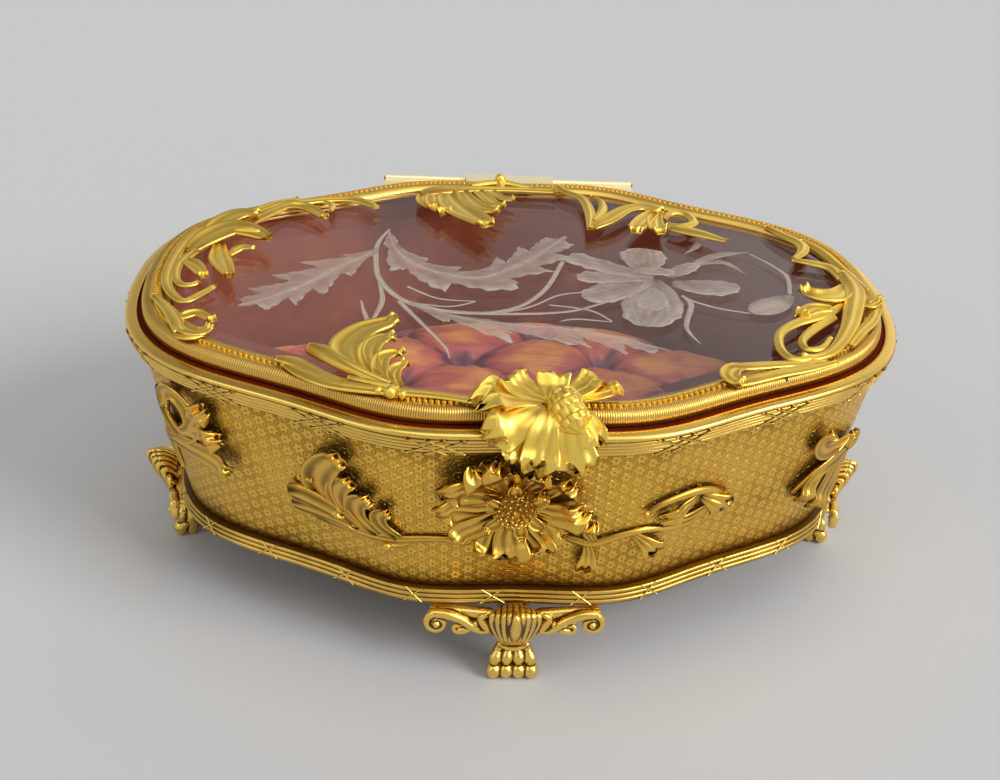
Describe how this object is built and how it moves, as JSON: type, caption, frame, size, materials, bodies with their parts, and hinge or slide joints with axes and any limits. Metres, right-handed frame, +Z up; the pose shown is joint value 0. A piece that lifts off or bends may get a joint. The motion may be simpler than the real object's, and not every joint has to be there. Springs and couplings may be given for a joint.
{
  "type": "jewellery casket",
  "caption": "Glass-topped jewellery casket with a hinged lid, gilt leaf mounts, paw feet and a tufted silk pad.",
  "frame": {"origin": "bottom centre of the box, on the plane its feet stand on", "axes": "+X along the length to the right, -Y towards the front with the clasp, +Z up"},
  "size_m": [0.256, 0.1918, 0.1162],
  "materials": {
    "gilt_moulding": "fire-gilt, satin with burnished edges",
    "gilt_stamped": "fire-gilt, stamped all over with small star flowers",
    "gilt_foot": "fire-gilt, burnished",
    "gilt_wall_mount": "fire-gilt, darkened in the hollows",
    "gilt_lid_mount": "fire-gilt, satin with bright edges",
    "hinge_brass": "burnished",
    "fastener_brass": "turned",
    "floor_wood": "plain, stained",
    "lining_card": "plain",
    "lining_silk": "dark red silk over card",
    "pad_silk": "shot silk, rose with gold lights, tufted",
    "lid_glass": "clear, bevelled, engraved with a flower spray"
  },
  "bodies": {
    "casket": {"side_band": "gilt_stamped", "rim_moulding": "gilt_moulding", "base_moulding": "gilt_moulding", "floor_plate": "floor_wood", "foot_front": "gilt_foot", "foot_back": "gilt_foot", "foot_left": "gilt_foot", "foot_right": "gilt_foot", "foot_screws": "fastener_brass", "front_flower": "gilt_wall_mount", "front_seed_head": "gilt_wall_mount", "front_sprig_left": "gilt_wall_mount", "front_sprig_right": "gilt_wall_mount", "back_flower": "gilt_wall_mount", "back_seed_head": "gilt_wall_mount", "back_sprig_left": "gilt_wall_mount", "back_sprig_right": "gilt_wall_mount", "left_corner_mounts": "gilt_wall_mount", "right_corner_mounts": "gilt_wall_mount", "wall_mount_pins": "fastener_brass", "lining_board": "lining_card", "lining_wall": "lining_silk", "cushion": "pad_silk", "hinge_body_leaves": "hinge_brass", "hinge_pin": "fastener_brass", "hinge_body_screws": "fastener_brass"},
    "lid": {"lid_frame": "gilt_moulding", "glass_pane": "lid_glass", "glass_strip": "gilt_moulding", "hinge_lid_leaf": "hinge_brass", "hinge_lid_pins": "fastener_brass", "clasp_flower": "gilt_lid_mount", "clasp_seed_head": "gilt_lid_mount", "lid_leaf_front": "gilt_lid_mount", "lid_leaf_left": "gilt_lid_mount", "lid_scroll_left": "gilt_lid_mount", "lid_branch_back_left": "gilt_lid_mount", "lid_leaf_back": "gilt_lid_mount", "lid_scroll_back_right": "gilt_lid_mount", "lid_scroll_right": "gilt_lid_mount", "lid_blade_right": "gilt_lid_mount", "lid_mount_pins": "fastener_brass"}
  },
  "joints": [
    {"name": "lid_hinge", "type": "hinge", "parent": "casket", "child": "lid", "pos_m": [0, 0.0943, 0.1006], "axis": [-1, 0, 0], "range_deg": [0, 100]}
  ]
}
